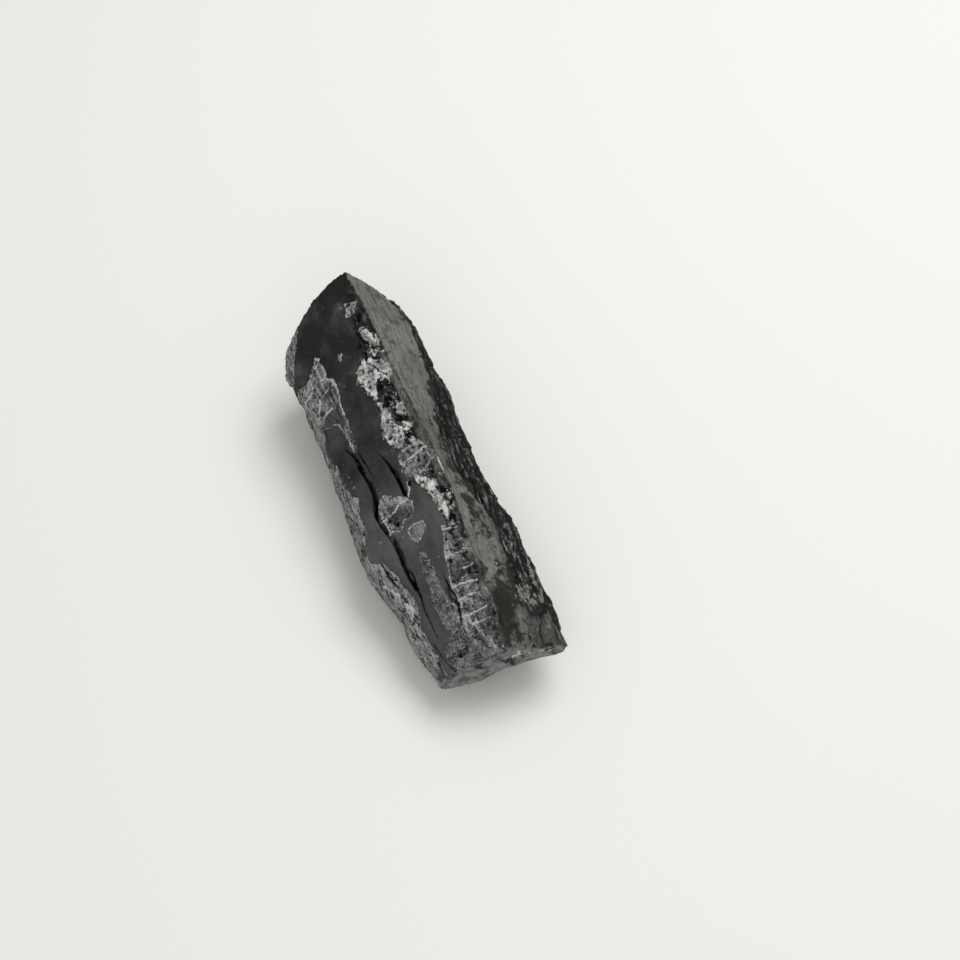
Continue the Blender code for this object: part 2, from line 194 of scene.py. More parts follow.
# Growth rings lie round this place in the broken ends: across, height
PITH = (1.0, 66.0)
RING_WIDTH = 2.9
# Rays in the far end: how closely they stand round the pith, and how long each is
RAY_CROWD = 46
RAY_LENGTH = 9
# Half of the width over which one kind of surface turns into the next
EDGE = 0.3
# Half of the width of a white line
LINE_WIDTH = 0.7
# How far a crumb reaches from its middle, as a share of the room that it has
CRUMB_REACH = 0.62
# Rounds of smoothing for the normals of the broad form, and for the bend of the surface
NORMAL_ROUNDS = 24
BEND_ROUNDS = 4
# These bring the noise, the furrows and the bend to the range that their users count on
WAVE_GAIN = 1.7
FURROW_GAIN = 2.2
BEND_GAIN = 3.0

# Heights of the fine relief, in millimetres, for each kind of surface and each form that it takes
HEIGHTS = {
    "all": {"lumps": 0.08, "grit": 0.04},
    "bare": {"fibres": 0.05, "swells": 0.22, "flat": 0.005},
    "film": {"fibres": 0.22, "grit": 0.25},
    "crumbling": {"crumbs": 1.5, "tilt": 0.5, "flat": -0.75},
    "loose": {"tilt": 0.7, "grit": 0.25, "flat": -0.2},
    "strip": {"fibres": 0.3, "lumps": 0.12},
    "white": {"lumps": 0.45, "grit": 0.4, "tilt": 0.5, "flat": 0.45},
    "speckled": {"grit": 0.14},
    "facet": {"fibres": 0.10, "ribs": 0.10, "swells": 0.12, "flat": 0.01},
    "fibrous": {"ribs": 0.8, "fibres": 0.5, "steps": 1.5, "lumps": 0.6},
    "slotted": {"slots": -0.9},
    "walls": {"ribs": 0.55, "fibres": 0.3, "steps": 0.5, "slots": -0.6},
    "far": {"rings": 0.22, "rays": 0.34, "steps": 0.5, "grit": 0.15},
    "near": {"swells": 0.2, "grit": 0.08},
    "hole": {"flat": -1.1},
    "crack": {"flat": -2.4},
    "line": {"flat": 0.15},
}

# Numbers of the lump's surface that its material reads
MARKS = (
    "dust", "skin", "pale", "end", "smudge", "tint", "torn", "black", "speckle", "film", "line", "white",
    "hole", "fibre", "hollow",
)
# Streaks of the charred wood, fine, broad and in threads: fineness, stretch
WOOD_STREAKS = ((1500.0, 0.07), (420.0, 0.16), (900.0, 0.2))
# Its clouds, blotches and specks: scale, detail, roughness
WOOD_NOISES = ((70.0, 4.0, 0.6), (260.0, 4.0, 0.65), (1500.0, 2.0, 0.6))
# Ragged outlines: size of their grain, how far they wander, softness, width of the rim
RAGGED = {
    "skin": (380.0, 1.1, 0.06), "fleck": (800.0, 1.5, 0.06), "speckle": (900.0, 0.45, 0.05),
    "film": (420.0, 0.5, 0.03, 0.10), "line": (1100.0, 1.0, 0.12), "white": (430.0, 1.2, 0.03),
    "hole": (560.0, 1.0, 0.10),
}


# Noise on arrays of places

def lattice(spots, seed):
    """Repeatable random numbers from 0 to 1 for whole-number places."""
    mixed = spots[..., 0] * 73856093 ^ spots[..., 1] * 19349663 ^ spots[..., 2] * 83492791 ^ seed * 668265263
    mixed &= 0xFFFFFFFF
    mixed = ((mixed ^ (mixed >> 15)) * 2246822519) & 0xFFFFFFFF
    mixed = ((mixed ^ (mixed >> 13)) * 3266489917) & 0xFFFFFFFF
    return ((mixed ^ (mixed >> 16)) & 0xFFFFFF) / 0xFFFFFF


def lattice_rows(spots, seed):
    """Three such numbers for each place."""
    return np.stack([lattice(spots, seed + axis) for axis in range(3)], 1)


def waves(places, size, seed, stretch=(1, 1, 1)):
    """Smooth noise from about -1 to 1 with features of that size in millimetres, drawn out by the stretch."""
    scaled = places / (size * np.array(stretch, float))
    base = np.floor(scaled).astype(np.int64)
    part = scaled - base
    ease = part ** 3 * (part * (part * 6 - 15) + 10)
    total = np.zeros(len(places))
    for corner in np.ndindex(2, 2, 2):
        cell = base + np.array(corner)
        weight = np.where(corner, ease, 1 - ease).prod(1)
        total += weight * ((part - corner) * (lattice_rows(cell, seed) * 2 - 1)).sum(1)
    return total * WAVE_GAIN


def layered(places, size, seed, stretch=(1, 1, 1), octaves=3):
    """Noise with finer and finer detail."""
    total = np.zeros(len(places))
    for octave in range(octaves):
        total += waves(places, size / 2 ** octave, seed + 7 * octave, stretch) / 2 ** octave
    return total / 1.5


def furrows(places, size, seed, stretch):
    """Sharp crests with round furrows between them, from 0 to 1."""
    return np.clip(1 - FURROW_GAIN * np.abs(waves(places, size, seed, stretch)), 0, 1)


def chipped(places, size, seed, stretch=(1, 1, 1)):
    """Chips of a brittle break: how far from each one's middle, its number from 0 to 1, and its tilt."""
    scaled = places / (size * np.array(stretch, float))
    base = np.floor(scaled).astype(np.int64)
    nearest = np.full(len(places), 9.0)
    number = np.zeros(len(places))
    tilt = np.zeros(len(places))
    for shift in np.ndindex(3, 3, 3):
        cell = base + np.array(shift) - 1
        away = scaled - (cell + lattice_rows(cell, seed))
        gap = np.sqrt((away ** 2).sum(1))
        closer = gap < nearest
        tilt = np.where(closer, (away * (lattice_rows(cell, seed + 5) - 0.5)).sum(1), tilt)
        number = np.where(closer, lattice(cell, seed + 4), number)
        nearest = np.where(closer, gap, nearest)
    return nearest, number, tilt


def ramp(low, high, values):
    """0 at low, 1 at high, eased between them."""
    share = np.clip((values - low) / (high - low), 0, 1)
    return share * share * (3 - 2 * share)


def segment_gap(along, across, start, end):
    """Distance of each place from a straight line between two others, and the share of the way along it."""
    run, rise = end[0] - start[0], end[1] - start[1]
    share = np.clip(((along - start[0]) * run + (across - start[1]) * rise) / (run ** 2 + rise ** 2), 0, 1)
    return np.hypot(along - start[0] - share * run, across - start[1] - share * rise), share


def outline_depth(along, across, corners):
    """How far inside an outline each place lies, in millimetres, negative outside it."""
    inside = np.zeros(len(along), bool)
    nearest = np.full(len(along), FAR_AWAY)
    for (a0, c0), (a1, c1) in zip(corners, corners[1:] + corners[:1]):
        nearest = np.minimum(nearest, segment_gap(along, across, (a0, c0), (a1, c1))[0])
        if c0 != c1:
            inside ^= ((c0 > across) != (c1 > across)) & (along < (a1 - a0) * (across - c0) / (c1 - c0) + a0)
    return np.where(inside, nearest, -nearest)


def deepest(along, across, outlines):
    """How far inside any of several outlines each place lies."""
    return np.maximum.reduce([outline_depth(along, across, corners) for corners in outlines])


def line_across(line, along):
    """The across of a line at each along."""
    return np.interp(along, [turn[0] for turn in line], [turn[1] for turn in line])


def nearest_line(along, across, runs):
    """Distance to the nearest of several runs of turns."""
    gap = np.full(len(along), FAR_AWAY)
    for run in runs:
        for start, end in zip(run, run[1:]):
            gap = np.minimum(gap, segment_gap(along, across, start, end)[0])
    return gap


def crack_depth(along, across):
    """How far inside the open mouth of a crack each place lies."""
    depth = np.full(len(along), -FAR_AWAY)
    for run in CRACKS:
        for start, end in zip(run, run[1:]):
            gap, share = segment_gap(along, across, start, end)
            depth = np.maximum(depth, CRACK_SHARE * (start[2] + share * (end[2] - start[2])) - gap)
    return depth


def spot_depth(along, across, spots):
    """How far inside any of several long round spots each place lies."""
    return np.maximum.reduce([
        radius - np.hypot((along - middle_along) * 0.7, across - middle_across)
        for middle_along, middle_across, radius in spots
    ])


def level(depth, span=4.0):
    """A depth inside an outline as a number from 0 to 1, one half on the outline itself."""
    return np.clip(0.5 + depth / span, 0, 1)


# The body of the lump

def merged_copy(name):
    """A copy of the CAD node's mesh with its doubles merged."""
    mesh = bmesh.new()
    mesh.from_mesh(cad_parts[name].data)
    bmesh.ops.remove_doubles(mesh, verts=mesh.verts[:], dist=MERGE_DISTANCE)
    data = bpy.data.meshes.new(name + "_skin")
    mesh.to_mesh(data)
    mesh.free()
    return data


def add_object(name, data):
    """An object at the origin, in the scene."""
    item = bpy.data.objects.new(name, data)
    bpy.context.scene.collection.objects.link(item)
    return item


def plain_mesh(item, name):
    """A new mesh from what an object's modifiers make of it."""
    graph = bpy.context.evaluated_depsgraph_get()
    data = bpy.data.meshes.new_from_object(item.evaluated_get(graph))
    data.name = name
    return data


def changed(item, kind, **settings):
    """The object with a modifier's work done on it."""
    change = item.modifiers.new("change", kind)
    for key, value in settings.items():
        setattr(change, key, value)
    data = plain_mesh(item, item.name)
    item.modifiers.clear()
    item.data = data
    return item


def read_numbers(items, name, width, kind=float):
    """One row of numbers from each of a mesh's items."""
    flat = np.empty(len(items) * width, kind)
    items.foreach_get(name, flat)
    return flat.reshape(-1, width)


def read_places(data):
    """The vertices of a mesh, in millimetres, in the billet's own measures."""
    return read_numbers(data.vertices, "co", 3) / MM + FRAME_ORIGIN


def write_places(data, places):
    """Puts the vertices of a mesh at places in millimetres."""
    data.vertices.foreach_set("co", ((places - FRAME_ORIGIN) * MM).ravel())
    data.update()


def read_normals(data):
    """The vertex normals of a mesh."""
    return read_numbers(data.vertex_normals, "vector", 3)


def mesh_edges(data):
    """The edges of a mesh and how many meet at each vertex."""
    edges = read_numbers(data.edges, "vertices", 2, np.int32)
    return edges, np.maximum(np.bincount(edges.ravel(), minlength=len(data.vertices)), 1)


def neighbour_mean(values, edges, counts):
    """The mean of each vertex's neighbours."""
    columns = values.reshape(len(values), -1)
    out = np.stack([
        np.bincount(edges[:, 0], column[edges[:, 1]], len(values))
        + np.bincount(edges[:, 1], column[edges[:, 0]], len(values))
        for column in columns.T
    ], 1) / counts[:, None]
    return out.reshape(values.shape)


def smoothed_normals(normals, edges, counts, rounds):
    """Normals of the broad form, without its small steps."""
    for _ in range(rounds):
        normals = 0.5 * (normals + neighbour_mean(normals, edges, counts))
    return normals / np.linalg.norm(normals, axis=1)[:, None]


def surface_zones(places, normals):
    """How far inside each kind of surface every place lies, in millimetres or as a share."""
    across, along, height = places.T
    ragged = layered(places, 6.0, 11, (1, 1.8, 1))
    fine = layered(places, 1.6, 31, (1, 1.8, 1), 2)
    stray = along + 1.2 * layered(places, 5.0, 23) + 0.5 * fine, across + 0.7 * ragged + 0.35 * fine
    ridge = line_across(RIDGE_LINE, along)
    ends = ramp(0.5, 0.85, np.abs(normals[:, 1]))
    top = ramp(0.15, 0.4, normals[:, 2])
    left_side = ramp(-0.35, -0.55, normals[:, 0])
    left = ridge - 0.2 - across
    rough = across + 2.6 * ragged + 1.2 * fine - line_across(SHOULDER_LINE, along)
    return {
        "along": along, "across": across, "height": height, "ragged": ragged, "fine": fine, "ends": ends,
        "steep": np.abs(normals[:, 1]), "facing_up": normals[:, 2], "from_ridge": across - ridge,
        "top": top * (1 - ends),
        "upper": np.maximum(top, left_side * ramp(-0.35, 0.0, normals[:, 2])) * (1 - ends),
        "under": ramp(0.05, -0.25, normals[:, 2]) * (1 - ends),
        "left": left, "rough": rough, "facet": np.minimum(across - ridge, -rough),
        "band": np.minimum.reduce([
            stray[1] - line_across(BAND_LINE, stray[0]), left, along + 88, 74 - along,
        ]),
        "film": deepest(*stray, FILMS + (GREEN_FILM,)),
        "white": deepest(*stray, WHITES),
        "speckled": deepest(*stray, SPECKLED),
        "green": outline_depth(*stray, GREEN_FILM),
        "veils": deepest(*stray, VEILS),
        "olive": deepest(*stray, (OLIVE, BLOTCH)),
        "smooth": outline_depth(*stray, SMOOTH_FACET),
        "lines": nearest_line(along + 0.4 * fine + 0.5 * ragged, across + 0.4 * fine + 0.4 * ragged, LINES),
        "cracks": crack_depth(along + 0.3 * fine, across + 0.18 * fine + 0.25 * ragged),
        "holes": spot_depth(along + 2.4 * fine, across + 1.7 * fine + 0.8 * ragged, HOLES) - 0.45,
        "blacks": spot_depth(along + 3.0 * ragged, across + 2.0 * ragged + 1.2 * fine, BLACKS),
        "smudges": spot_depth(along + 2.5 * ragged, across + 2.0 * ragged + fine, SMUDGES),
        "end_spots": spot_depth(across + 1.5 * ragged, height + 0.8 * fine, END_WHITES),
    }


def surface_cover(zone):
    """How much of each kind of surface there is at every place, from 0 to 1."""
    along, top, upper, ends = zone["along"], zone["top"], zone["upper"], zone["ends"]
    left = ramp(-EDGE, EDGE, zone["left"]) * upper
    band = ramp(-EDGE, EDGE, zone["band"]) * left
    film = ramp(-0.2, 0.2, zone["film"]) * left
    white = ramp(-EDGE, EDGE, zone["white"]) * left
    speckled = ramp(-0.4, 0.6, zone["speckled"]) * left
    torn = ramp(-0.4, 0.6, zone["rough"]) * top
    # a smooth strip along the crest, where nothing has crumbled
    strip = ramp(-3.6, -2.6, zone["from_ridge"]) * ramp(52, 42, along) * ramp(-14, -5, along) * left
    # crumbs with holes between them, beside the ridge
    crumbling = band * ramp(66, 52, along) * ramp(-46, -24, along) * (1 - 0.8 * film) * (1 - 0.55 * white)
    # the torn face wears smooth towards the near end
    rubbed = ramp(-56, -74, along)
    far = ends * ramp(-10, 10, along)
    return {
        "all": 1.0, "left": left, "band": band, "film": film, "white": white, "speckled": speckled,
        "torn": torn, "strip": strip, "rubbed": rubbed, "far": far, "near": ends - far,
        "facet": ramp(-EDGE, EDGE, zone["facet"]) * top,
        "bare": left * np.clip(1 - band - film - speckled, 0, 1),
        "crumbling": crumbling * ramp(-8.5, -5.0, zone["from_ridge"]) * (1 - 0.9 * strip),
        "loose": band * (1 - strip),
        "fibrous": torn * (1 - 0.65 * rubbed),
        "slotted": torn * (1 - 0.5 * rubbed) * ramp(-0.1, 0.4, zone["ragged"]),
        "walls": np.clip(zone["under"] + (1 - upper) * (1 - ends) * ramp(0.4, 0.1, zone["facing_up"]), 0, 1),
        "hole": ramp(-0.2, 0.8, zone["holes"]) * top * (1 - strip),
        "crack": ramp(-0.15, 0.35, zone["cracks"]) * upper,
        "line": ramp(0.6, 0.15, zone["lines"]) * left,
        "near_end": ends * ramp(-60, -70, along),
    }


def relief_forms(places, zone):
    """The small forms of the surface, most of them from about -1 to 1."""
    across, along, height = places.T
    lumps = layered(places, 3.2, 53)
    crumb_gap, crumb_number, tilt = chipped(places, 2.3, 61, (1, 1.2, 1))
    slot_gap, slot_number, _ = chipped(places, 2.4, 81, (1, 3.4, 1))
    radius = np.hypot(across - PITH[0], height - PITH[1]) + 0.8 * lumps
    angle = np.arctan2(across - PITH[0], PITH[1] - height)
    rays = np.stack([angle * RAY_CROWD, radius / RAY_LENGTH, along / RAY_LENGTH], 1)
    return {
        "flat": 1.0, "lumps": lumps, "tilt": tilt,
        "fibres": furrows(places, 1.1, 41, (1, 14, 1)) - 0.6,
        "ribs": furrows(places, 2.6, 43, (1, 10, 1)) - 0.6,
        "grit": layered(places, 1.3, 47, octaves=2),
        "swells": layered(places, 11, 97, (1, 1.6, 1), 2),
        "steps": chipped(places, 6.0, 91, (1, 2.4, 1))[1] - 0.5,
        "crumbs": np.clip(1 - (crumb_gap / CRUMB_REACH) ** 2, 0, 1) * crumb_number,
        "slots": ramp(0.55, 0.25, slot_gap) * ramp(0.40, 0.65, slot_number) * ramp(0.5, 0.2, zone["steep"]),
        "rings": np.abs((radius / RING_WIDTH) % 1 - 0.5) * 2 - 0.5,
        "rays": furrows(rays, 1.0, 101, (1, 1, 1)) - 0.6,
    }


def relief(zone, cover, forms, settings):
    """How far every vertex rises, in millimetres."""
    rise = sum(
        cover[kind] * height * forms[form]
        for kind, heights in HEIGHTS.items() for form, height in heights.items()
    )
    # the skin ends in a small broken step where it has flaked away
    rise -= settings.flake_depth / MM * cover["film"] * (0.8 + 0.4 * forms["lumps"])
    # all of it fades out where the lump rests
    height = zone["height"]
    facing_down = ramp(-0.6, -0.9, zone["facing_up"])
    return rise * ramp(0.0, 0.8, height + 0.25) * (1 - 0.75 * facing_down * ramp(1.5, 0.3, height))


def surface_looks(places, zone, cover, forms):
    """The numbers that the materials and the strewn grains read, from 0 to 1."""
    along, height, top, left = zone["along"], zone["height"], zone["top"], cover["left"]
    ragged, from_ridge, near_end = zone["ragged"], zone["from_ridge"], cover["near_end"]
    torn, walls, strip, rubbed = cover["torn"], cover["walls"], cover["strip"], cover["rubbed"]
    grime = np.clip(0.45 + 0.55 * ragged, 0, 1)
    # the facet is narrow here, and its skin is darker
    narrow = ramp(26, 16, along) * ramp(-13, -5, along)
    crumb_white = np.clip(0.1 + 1.1 * forms["crumbs"], 0, 0.85) * cover["crumbling"] * ramp(58, 44, along)
    crumb_white *= ramp(0.0, -1.6, from_ridge) * (1 - 0.5 * ramp(-18, -30, along))
    low_film = 0.9 * cover["band"] * ramp(-26, -34, along) * ramp(-0.15, 0.1, ragged)
    # pale glints on the crest
    glint = np.clip(1 - np.abs(from_ridge + 0.1) / LINE_WIDTH, 0, 1) * top
    glint *= ramp(60, 50, along) * ramp(-20, -5, along) * ramp(0.0, 0.3, waves(places, 3.0, 131, (1, 3, 1)))
    # painted light: a broad lighter band on the face round along -22
    painted_light_middle = np.exp(-((along + 22) / 13) ** 2)
    looks = {
        "white": np.maximum.reduce([
            level(zone["white"], 5.0) * left, level(zone["end_spots"], 5.0) * near_end, crumb_white,
        ]) * (1 - 0.9 * cover["hole"]),
        "film": np.maximum(level(zone["film"]), low_film) * left,
        "smudge": level(zone["smudges"], 7.0) * np.maximum(top, 0.85 * near_end * ramp(13, 21, height)),
        "black": level(zone["blacks"], 7.0) * top,
        "end": near_end,
        "speckle": level(zone["speckled"], 2.5) * left * (1 - 0.5 * near_end),
        "skin": np.maximum.reduce([
            level(zone["facet"], 3.0) * top * (1 - 0.30 * narrow), near_end * 0.9, 0.66 * strip,
            (0.30 + 0.42 * grime) * walls, (0.42 + 0.36 * grime) * torn * rubbed,
        ]),
        "torn": torn * (1 - 0.95 * rubbed) * (0.03 + 0.42 * ramp(-16, -62, along) + 0.36 * grime),
        "tint": np.maximum.reduce([
            level(zone["olive"], 5.0) * top, level(zone["green"], 2.0) * left,
            0.6 * level(zone["veils"], 2.0) * left, 0.2 * walls * grime,
        ]),
        "pale": top * np.maximum(
            level(zone["smooth"], 6.0), (0.4 + 0.7 * grime) * cover["facet"] * ramp(10, 28, along),
        ),
        # painted shade: holes and the mouths of cracks, painted black in the material
        "hole": np.maximum(
            level(zone["holes"], 2.4) * top * (1 - strip), level(zone["cracks"], 1.2) * zone["upper"],
        ),
        # white lines, with the painted highlight of glints along the crest
        "line": np.maximum(np.clip(1 - zone["lines"] / LINE_WIDTH, 0, 1) * left, glint),
        # partly dust and partly painted light: the bare char grows lighter towards the near end
        "dust": 0.37 - along / 180 + 0.22 * ragged + 0.10 * forms["swells"] + 0.45 * painted_light_middle,
        # where the painted shade in hollows and the painted highlight on crests are strongest
        "fibre": (
            torn * (0.5 + 0.5 * ramp(50, -30, along)) + 0.6 * walls
            + 0.7 * cover["film"] + 0.35 * cover["facet"]
            + 0.75 * cover["white"] + 0.8 * cover["loose"]
        ),
    }
    looks = {name: np.clip(values, 0, 1) for name, values in looks.items()}
    crumbs = np.maximum(cover["white"] * (0.35 + forms["lumps"]), 0.9 * crumb_white)
    looks["crumbs"] = crumbs * (1 - cover["hole"])
    splinters = torn * ramp(-0.2, 0.1, forms["ribs"]) * ramp(62, 50, np.abs(along))
    looks["splinters"] = splinters * ramp(0.3, 0.5, zone["facing_up"])
    return looks


def store(data, name, values):
    """Keeps one number a vertex on a mesh."""
    layer = data.attributes.new(name, "FLOAT", "POINT")
    layer.data.foreach_set("value", values.astype(np.float32))


def make_body(settings):
    """The lump with its fine relief, and the looks of its surface kept as attributes."""
    body = add_object("lump_body", merged_copy(NODE))
    changed(body, "REMESH", mode="VOXEL", voxel_size=settings.net_spacing, adaptivity=0.0)
    data = body.data
    places = read_places(data)
    edges, counts = mesh_edges(data)
    for _ in range(settings.easing):
        places += 0.5 * (neighbour_mean(places, edges, counts) - places)
    across, along, height = places.T
    hollowed = ramp(-66, -83, along) * ramp(22, 12, height) * ramp(18, 6, np.abs(across - 6))
    places[:, 1] += settings.near_hollow / MM * hollowed
    worn = ramp(20, 29, across) * ramp(-72, -84, along)
    places[:, 1] += settings.worn_corner / MM * worn
    places[:, 0] -= 0.6 * settings.worn_corner / MM * worn
    write_places(data, places)
    normals = smoothed_normals(read_normals(data), edges, counts, NORMAL_ROUNDS)
    zone = surface_zones(places, normals)
    cover = surface_cover(zone)
    forms = relief_forms(places, zone)
    looks = surface_looks(places, zone, cover, forms)
    places = places + normals * relief(zone, cover, forms, settings)[:, None]
    places[:, 2] = np.maximum(places[:, 2], 0.0)
    write_places(data, places)
    # the bend of the surface, kept as the mark 'hollow', drives the painted shade in hollows and the painted
    # highlight on crests
    bend = ((neighbour_mean(places, edges, counts) - places) * read_normals(data)).sum(1)
    bend /= settings.net_spacing / MM
    for _ in range(BEND_ROUNDS):
        bend = 0.5 * bend + 0.5 * neighbour_mean(bend, edges, counts)
    looks["hollow"] = np.clip(0.5 + BEND_GAIN * bend, 0, 1)
    for name, values in looks.items():
        store(data, name, values)
    if len(data.polygons) * 2 > BODY_TRIANGLES:
        changed(body, "DECIMATE", ratio=BODY_TRIANGLES / (len(data.polygons) * 2))
    body.data.shade_smooth()
    return body


# Materials

def feed(tree, socket, value):
    """Links a socket to what feeds it, or sets its value."""
    if isinstance(value, bpy.types.NodeSocket):
        tree.links.new(value, socket)
    else:
        socket.default_value = value


def add_node(tree, kind, feeds=None, **settings):
    """A node with its settings and what feeds each of its sockets."""
    made = tree.nodes.new(kind)
    for key, value in settings.items():
        setattr(made, key, value)
    for key, value in (feeds or {}).items():
        feed(tree, made.inputs[key], value)
    return made


def new_group(name, kind, inputs, outputs):
    """A node group with named sockets, and its input and output nodes."""
    group = bpy.data.node_groups.new(name, kind)
    for label, socket, start in inputs:
        made = group.interface.new_socket(name=label, in_out="INPUT", socket_type=socket)
        if start is not None:
            made.default_value = start
    for label, socket in outputs:
        group.interface.new_socket(name=label, in_out="OUTPUT", socket_type=socket)
    return group, group.nodes.new("NodeGroupInput"), group.nodes.new("NodeGroupOutput")


def use_group(tree, group, feeds):
    """A group in a tree, with its sockets fed."""
    made = tree.nodes.new("ShaderNodeGroup")
    made.node_tree = group
    for key, value in feeds.items():
        feed(tree, made.inputs[key], value)
    return made.outputs


def combine(operation, first, second, clamp=False):
    """The result of a sum on two values, at least one of them a socket."""
    tree = (first if isinstance(first, bpy.types.NodeSocket) else second).id_data
    feeds = {0: first, 1: second}
    return add_node(tree, "ShaderNodeMath", feeds, operation=operation, use_clamp=clamp).outputs[0]


def times(first, second):
    """One value multiplied by another."""
    return combine("MULTIPLY", first, second)


def plus(first, second, clamp=False):
    """One value added to another."""
    return combine("ADD", first, second, clamp)


def mix_colour(share, first, second):
    """One colour laid over another, by a share that is a socket."""
    made = add_node(share.id_data, "ShaderNodeMix", {"Factor": share}, data_type="RGBA", clamp_factor=True)
    feed(share.id_data, made.inputs[6], first)
    feed(share.id_data, made.inputs[7], second)
    return made.outputs[2]


def spread(value, low, high, start=0.0, end=1.0):
    """A socket's value taken from one range to another, held at its ends."""
    feeds = {"Value": value, "From Min": low, "From Max": high, "To Min": start, "To Max": end}
    return add_node(value.id_data, "ShaderNodeMapRange", feeds, clamp=True).outputs[0]


def combine_vectors(operation, first, others):
    """The result of a sum on a vector socket and what else it takes."""
    feeds = {0: first, **others}
    return add_node(first.id_data, "ShaderNodeVectorMath", feeds, operation=operation).outputs[0]


def grain_noise(tree, place, scale, detail=3.0, roughness=0.6):
    """Plain fractal noise at places."""
    feeds = {"Vector": place, "Scale": scale, "Detail": detail, "Roughness": roughness}
    return add_node(tree, "ShaderNodeTexNoise", feeds).outputs["Fac"]


def mark(tree, name):
    """One of the surface's own numbers."""
    return add_node(tree, "ShaderNodeAttribute", attribute_name=name).outputs["Fac"]


def streak_group():
    """Noise drawn out along the grain."""
    group, enter, leave = new_group(
        "Grain streaks", "ShaderNodeTree",
        (
            ("Place", "NodeSocketVector", None), ("Fineness", "NodeSocketFloat", 900.0),
            ("Stretch", "NodeSocketFloat", 0.08),
        ),
        (("Streaks", "NodeSocketFloat"),),
    )
    pulled = add_node(group, "ShaderNodeCombineXYZ", {0: 1.0, 1: enter.outputs["Stretch"], 2: 1.0}).outputs[0]
    scaled = combine_vectors("MULTIPLY", enter.outputs["Place"], {1: pulled})
    group.links.new(grain_noise(group, scaled, enter.outputs["Fineness"]), leave.inputs["Streaks"])
    return group


def edge_group():
    """Where a surface's own number passes one half: its ragged cover and the thin rim round it."""
    group, enter, leave = new_group(
        "Ragged edge", "ShaderNodeTree",
        (
            ("Number", "NodeSocketFloat", 0.5), ("Place", "NodeSocketVector", None),
            ("Grain", "NodeSocketFloat", 700.0), ("Wander", "NodeSocketFloat", 0.3),
            ("Softness", "NodeSocketFloat", 0.03), ("Rim", "NodeSocketFloat", 0.05),
        ),
        (("Cover", "NodeSocketFloat"), ("Rim", "NodeSocketFloat")),
    )
    give = enter.outputs
    noise = grain_noise(group, give["Place"], give["Grain"], 4.0, 0.62)
    swing = times(combine("SUBTRACT", noise, 0.5), give["Wander"])
    past = combine("SUBTRACT", plus(give["Number"], swing), 0.5)
    cover = spread(past, times(give["Softness"], -1.0), give["Softness"])
    near = add_node(group, "ShaderNodeMath", {0: past}, operation="ABSOLUTE").outputs[0]
    group.links.new(cover, leave.inputs["Cover"])
    group.links.new(spread(near, give["Rim"], 0.0), leave.inputs["Rim"])
    return group


def new_material(name, roughness, specular):
    """A material with a plain dull shader."""
    material = bpy.data.materials.new(name)
    material.use_nodes = True
    shader = material.node_tree.nodes["Principled BSDF"]
    shader.inputs["Roughness"].default_value = roughness
    shader.inputs["Specular IOR Level"].default_value = specular
    return material, material.node_tree, shader


def grey(value):
    """A neutral colour."""
    return (value, value, value * 0.985, 1.0)


def streaked(tree, streaks, place, fineness, stretch):
    """Noise drawn out along the grain, at places."""
    return use_group(tree, streaks, {"Place": place, "Fineness": fineness, "Stretch": stretch})[0]


def ragged_edge(tree, edges, place, number, grain, wander, softness, rim=0.05):
    """The cover and rim of a surface whose number is one half on its outline."""
    return use_group(tree, edges, {
        "Number": number, "Place": place, "Grain": grain, "Wander": wander, "Softness": softness, "Rim": rim,
    })


def layers(colour, laid):
    """A colour with others laid over it, each as its value goes from low to high, up to its most."""
    for value, low, high, most, over in laid:
        colour = mix_colour(spread(value, low, high, 0.0, most), colour, over)
    return colour


def dress(tree, shader, colour, roughness, height, strength, distance):
    """Gives a shader its colour, its roughness and its fine bumps."""
    bump = add_node(tree, "ShaderNodeBump", {"Height": height, "Strength": strength, "Distance": distance})
    tree.links.new(colour, shader.inputs["Base Color"])
    tree.links.new(roughness, shader.inputs["Roughness"])
    tree.links.new(bump.outputs["Normal"], shader.inputs["Normal"])


